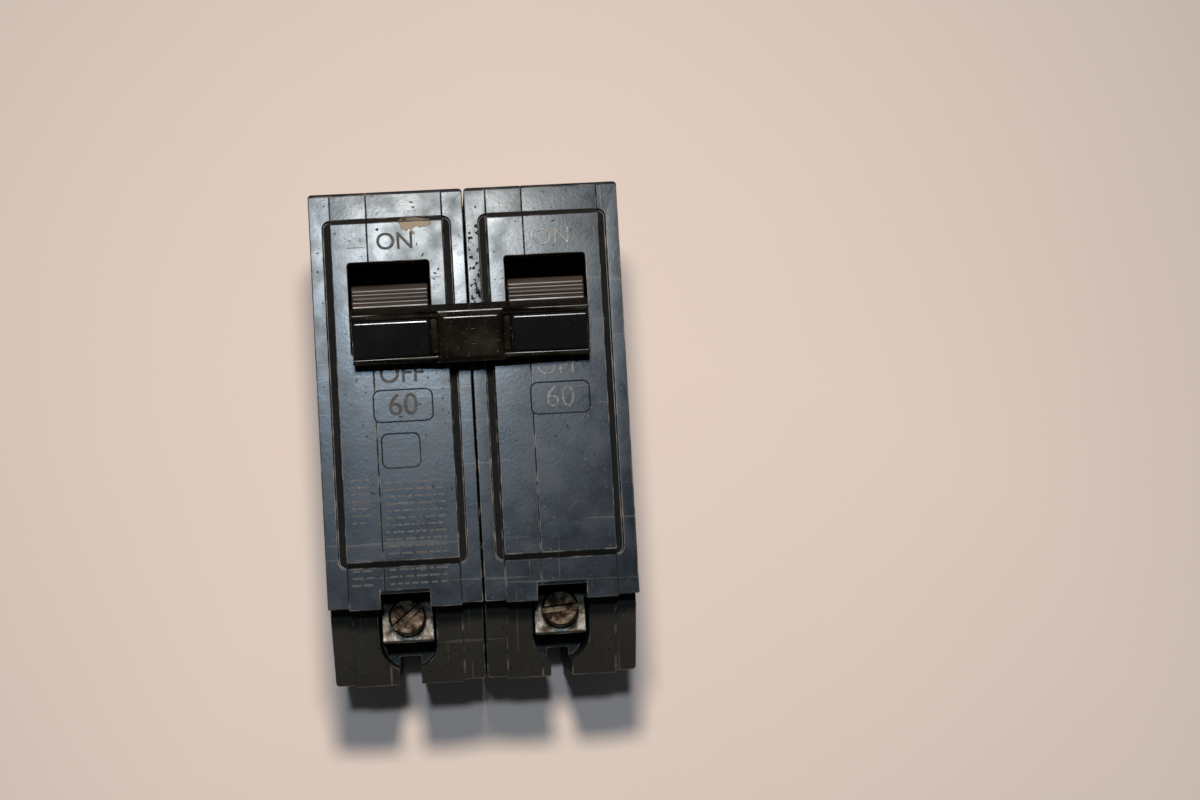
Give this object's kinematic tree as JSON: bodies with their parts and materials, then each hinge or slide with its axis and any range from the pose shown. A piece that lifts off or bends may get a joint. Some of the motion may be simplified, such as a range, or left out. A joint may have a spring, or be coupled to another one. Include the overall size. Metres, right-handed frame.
{
  "type": "two-pole plug-in circuit breaker",
  "caption": "Two-pole plug-in thermal-magnetic breaker: black moulded poles, raised face blocks, tied toggle handles, wire clamps at the load end, stab jaws behind.",
  "frame": {"origin": "middle of the back face: centre of the footprint, at the back", "axes": "+Z out of the front face, +Y towards the line (plug-in) end, +X to the right"},
  "size_m": [0.0508, 0.0816, 0.0694],
  "materials": {
    "case_phenolic": "black moulded phenolic, worn satin",
    "handle_plastic": "glossy black",
    "tie_plastic": "glossy dark brown-black",
    "trip_bar_plastic": "natural moulding",
    "rivet_metal": "dull zinc plated",
    "pin_steel": "ground steel",
    "copper": "copper, slightly oxidised",
    "copper_braid": "woven copper strands",
    "contact_silver": "silver alloy",
    "spring_steel": "blued spring steel",
    "plated_steel": "zinc plated steel",
    "bimetal_strip": "bimetal strip",
    "fibre_board": "vulcanised fibre",
    "cage_metal": "tin plated",
    "screw_metal": "brown plated steel"
  },
  "bodies": {
    "case": {"arc_frame_left": "fibre_board", "arc_frame_right": "fibre_board", "arc_plates_left": "plated_steel", "arc_plates_right": "plated_steel", "armature_pin_left": "pin_steel", "armature_pin_right": "pin_steel", "bimetal_left": "bimetal_strip", "bimetal_right": "bimetal_strip", "braid_left": "copper_braid", "braid_right": "copper_braid", "calibration_screw_left": "screw_metal", "calibration_screw_right": "screw_metal", "case_base_left": "case_phenolic", "case_base_right": "case_phenolic", "case_cover_left": "case_phenolic", "case_cover_right": "case_phenolic", "case_rivets": "rivet_metal", "cradle_pin_left": "pin_steel", "cradle_pin_right": "pin_steel", "fixed_contact_left": "contact_silver", "fixed_contact_right": "contact_silver", "handle_pivot_pin_left": "pin_steel", "handle_pivot_pin_right": "pin_steel", "jaw_spring_left": "spring_steel", "jaw_spring_right": "spring_steel", "line_strap_left": "copper", "line_strap_right": "copper", "load_strap_left": "copper", "load_strap_right": "copper", "magnet_yoke_left": "plated_steel", "magnet_yoke_right": "plated_steel", "stab_jaw_left": "copper", "stab_jaw_right": "copper"},
    "handle": {"handle_left": "handle_plastic", "handle_right": "handle_plastic", "handle_tie": "tie_plastic", "arm_pivot_pin_left": "pin_steel", "arm_pivot_pin_right": "pin_steel"},
    "trip_bar": {"trip_bar": "trip_bar_plastic"},
    "contact_arm_left": {"contact_arm_left": "copper", "moving_contact_left": "contact_silver"},
    "cradle_left": {"cradle_left": "plated_steel", "toggle_spring_left": "spring_steel"},
    "armature_left": {"armature_left": "plated_steel"},
    "lug_screw_left": {"lug_screw_left": "screw_metal"},
    "wire_cage_left": {"wire_cage_left": "cage_metal"},
    "contact_arm_right": {"contact_arm_right": "copper", "moving_contact_right": "contact_silver"},
    "cradle_right": {"cradle_right": "plated_steel", "toggle_spring_right": "spring_steel"},
    "armature_right": {"armature_right": "plated_steel"},
    "lug_screw_right": {"lug_screw_right": "screw_metal"},
    "wire_cage_right": {"wire_cage_right": "cage_metal"}
  },
  "joints": [
    {"name": "handle_throw", "type": "hinge", "parent": "case", "child": "handle", "pos_m": [0, 0.0213, 0.0515], "axis": [-1, 0, 0], "range_deg": [0, 40]},
    {"name": "trip_bar_turn", "type": "hinge", "parent": "case", "child": "trip_bar", "pos_m": [0, -0.0128, 0.0496], "axis": [-1, 0, 0], "range_deg": [0, 12], "stiffness_Nm_per_rad": 0.02},
    {"name": "contact_arm_swing_left", "type": "hinge", "parent": "handle", "child": "contact_arm_left", "pos_m": [-0.01277, 0.02421, 0.04351], "axis": [1, 0, 0], "range_deg": [0, 76]},
    {"name": "cradle_release_left", "type": "hinge", "parent": "case", "child": "cradle_left", "pos_m": [-0.01277, 0.003, 0.0465], "axis": [1, 0, 0], "range_deg": [0, 25], "deforming": ["toggle_spring_left"]},
    {"name": "armature_pull_left", "type": "hinge", "parent": "case", "child": "armature_left", "pos_m": [-0.01277, -0.009, 0.015], "axis": [1, 0, 0], "range_deg": [0, 6]},
    {"name": "lug_screw_turn_left", "type": "hinge", "parent": "case", "child": "lug_screw_left", "pos_m": [-0.01277, -0.0292, 0.045], "axis": [0, 0, -1], "range_deg": [-1260, 540]},
    {"name": "wire_cage_climb_left", "type": "slide", "parent": "case", "child": "wire_cage_left", "axis": [0, 0, 1], "range_m": [-0.0028, 0.0012]},
    {"name": "contact_arm_swing_right", "type": "hinge", "parent": "handle", "child": "contact_arm_right", "pos_m": [0.01277, 0.02421, 0.04351], "axis": [1, 0, 0], "range_deg": [0, 76]},
    {"name": "cradle_release_right", "type": "hinge", "parent": "case", "child": "cradle_right", "pos_m": [0.01277, 0.003, 0.0465], "axis": [1, 0, 0], "range_deg": [0, 25], "deforming": ["toggle_spring_right"]},
    {"name": "armature_pull_right", "type": "hinge", "parent": "case", "child": "armature_right", "pos_m": [0.01277, -0.009, 0.015], "axis": [1, 0, 0], "range_deg": [0, 6]},
    {"name": "lug_screw_turn_right", "type": "hinge", "parent": "case", "child": "lug_screw_right", "pos_m": [0.01277, -0.0292, 0.045], "axis": [0, 0, -1], "range_deg": [-1260, 540]},
    {"name": "wire_cage_climb_right", "type": "slide", "parent": "case", "child": "wire_cage_right", "axis": [0, 0, 1], "range_m": [-0.0028, 0.0012]}
  ],
  "couplings": [
    {"joint": "contact_arm_swing_left", "follows": "handle_throw", "ratio": 1.9},
    {"joint": "cradle_release_left", "follows": "trip_bar_turn", "ratio": 2.0833},
    {"joint": "armature_pull_left", "follows": "trip_bar_turn", "ratio": 0.5},
    {"joint": "lug_screw_turn_left", "follows": "wire_cage_climb_left", "rad_per_m": 7853.9},
    {"joint": "contact_arm_swing_right", "follows": "handle_throw", "ratio": 1.9},
    {"joint": "cradle_release_right", "follows": "trip_bar_turn", "ratio": 2.0833},
    {"joint": "armature_pull_right", "follows": "trip_bar_turn", "ratio": 0.5},
    {"joint": "lug_screw_turn_right", "follows": "wire_cage_climb_right", "rad_per_m": 7853.9}
  ]
}
